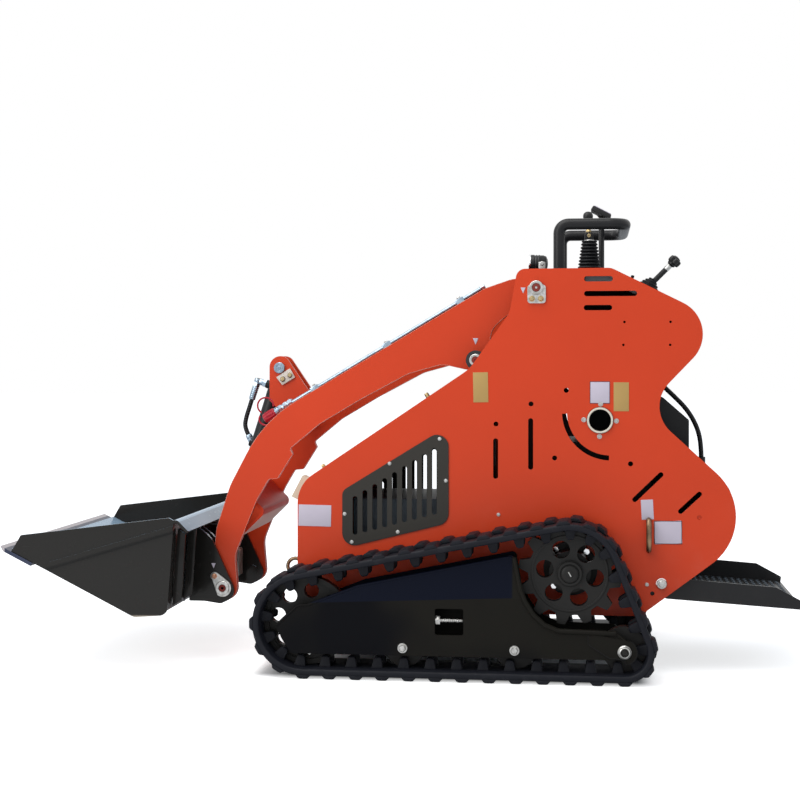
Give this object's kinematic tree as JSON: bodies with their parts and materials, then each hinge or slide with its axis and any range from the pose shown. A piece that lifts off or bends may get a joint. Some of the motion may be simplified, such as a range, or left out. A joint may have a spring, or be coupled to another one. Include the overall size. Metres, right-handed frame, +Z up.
{
  "type": "mini skid steer loader",
  "caption": "Stand-on mini loader on rubber tracks with curved lift arms, lift and tilt cylinders, a quick coupler, a bucket and an operator platform.",
  "frame": {"origin": "middle of the overall length and width, on the ground", "axes": "-X to the front (bucket), +Z up, -Y to the machine's left"},
  "size_m": [2.2626, 0.96, 1.3532],
  "materials": {
    "orange_paint": "satin orange-red paint",
    "black_paint": "satin black paint",
    "bucket_paint": "satin dark grey-black paint",
    "grille_paint": "satin dark olive-grey paint",
    "zinc": "zinc plated",
    "chrome_rod": "hard chrome",
    "worn_steel": "plain steel",
    "track_rubber": "matt black rubber",
    "cast_black": "black painted casting",
    "pad_polymer": "cream polymer",
    "black_plastic": "moulded black",
    "tank_grey": "grey paint"
  },
  "bodies": {
    "chassis": {"side_plate_left": "orange_paint", "side_plate_right": "orange_paint", "grilles": "grille_paint", "front_panel": "orange_paint", "hood_panel": "black_paint", "top_deck": "black_paint", "bulkhead": "black_paint", "rear_panels": "black_paint", "belly_pan": "black_paint", "engine_block": "cast_black", "tank": "tank_grey", "exhaust": "worn_steel", "handle_hoop": "black_paint", "control_levers": "black_plastic", "boom_lever": "black_plastic", "work_lamp": "black_plastic", "arm_pins": "zinc", "lift_anchors": "black_paint", "platform_pins": "zinc", "front_rings": "zinc", "lashing_bars": "zinc", "stop_blocks": "pad_polymer", "rear_box": "black_plastic", "cross_tubes": "black_paint", "track_left": "track_rubber", "track_right": "track_rubber", "track_frame_left": "black_paint", "track_frame_right": "black_paint", "sprockets": "cast_black", "drive_motors": "cast_black", "front_idlers": "cast_black", "rollers": "cast_black", "rear_cable": "track_rubber"},
    "arms": {"arm_left": "orange_paint", "arm_right": "orange_paint", "arm_cross_tubes": "orange_paint", "tilt_bracket": "orange_paint", "hydraulic_lines": "worn_steel"},
    "lift_barrel_l": {"lift_barrel_left": "black_paint"},
    "lift_barrel_r": {"lift_barrel_right": "black_paint"},
    "lift_rod_l": {"lift_rod_left": "chrome_rod"},
    "lift_rod_r": {"lift_rod_right": "chrome_rod"},
    "tilt_barrel_body": {"tilt_barrel": "black_paint", "tilt_hose": "track_rubber"},
    "tilt_rod_body": {"tilt_rod": "chrome_rod"},
    "bucket_body": {"coupler": "bucket_paint", "latches": "zinc", "bucket": "bucket_paint", "cutting_edge": "bucket_paint"},
    "step": {"platform": "black_paint"}
  },
  "joints": [
    {"name": "arm_lift", "type": "hinge", "parent": "chassis", "child": "arms", "pos_m": [0.3835, 0, 1.095], "axis": [0, 1, 0], "range_deg": [-4, 80]},
    {"name": "bucket_tilt", "type": "hinge", "parent": "arms", "child": "bucket_body", "pos_m": [-0.5425, 0, 0.215], "axis": [0, 1, 0], "range_deg": [-75, 0]},
    {"name": "platform_fold", "type": "hinge", "parent": "chassis", "child": "step", "pos_m": [0.7365, 0, 0.256], "axis": [0, 1, 0], "range_deg": [-40, 0]},
    {"name": "tilt_barrel_swing", "type": "hinge", "parent": "arms", "child": "tilt_barrel_body", "pos_m": [-0.4105, 0, 0.865], "axis": [0, 1, 0], "range_deg": [-0.5, 5.68]},
    {"name": "tilt_rod_slide", "type": "slide", "parent": "tilt_barrel_body", "child": "tilt_rod_body", "axis": [-0.3018, 0, -0.9534], "range_m": [-0.001, 0.1602]},
    {"name": "lift_barrel_swing_l", "type": "hinge", "parent": "chassis", "child": "lift_barrel_l", "pos_m": [0.2115, -0.2465, 0.31], "axis": [0, 1, 0], "range_deg": [-4.07, 0.68]},
    {"name": "lift_rod_slide_l", "type": "slide", "parent": "lift_barrel_l", "child": "lift_rod_l", "axis": [-0.0052, 0, 1], "range_m": [-0.0183, 0.3465]},
    {"name": "lift_barrel_swing_r", "type": "hinge", "parent": "chassis", "child": "lift_barrel_r", "pos_m": [0.2115, 0.2465, 0.31], "axis": [0, 1, 0], "range_deg": [-4.07, 0.68]},
    {"name": "lift_rod_slide_r", "type": "slide", "parent": "lift_barrel_r", "child": "lift_rod_r", "axis": [-0.0052, 0, 1], "range_m": [-0.0183, 0.3465]}
  ],
  "couplings": [
    {"joint": "tilt_barrel_swing", "follows": "bucket_tilt", "ratio": -0.069113},
    {"joint": "tilt_rod_slide", "follows": "bucket_tilt", "m_per_rad": -0.12163},
    {"joint": "lift_barrel_swing_l", "follows": "arm_lift", "ratio": -0.044591},
    {"joint": "lift_rod_slide_l", "follows": "arm_lift", "m_per_rad": 0.24744},
    {"joint": "lift_barrel_swing_r", "follows": "arm_lift", "ratio": -0.044591},
    {"joint": "lift_rod_slide_r", "follows": "arm_lift", "m_per_rad": 0.24744}
  ]
}
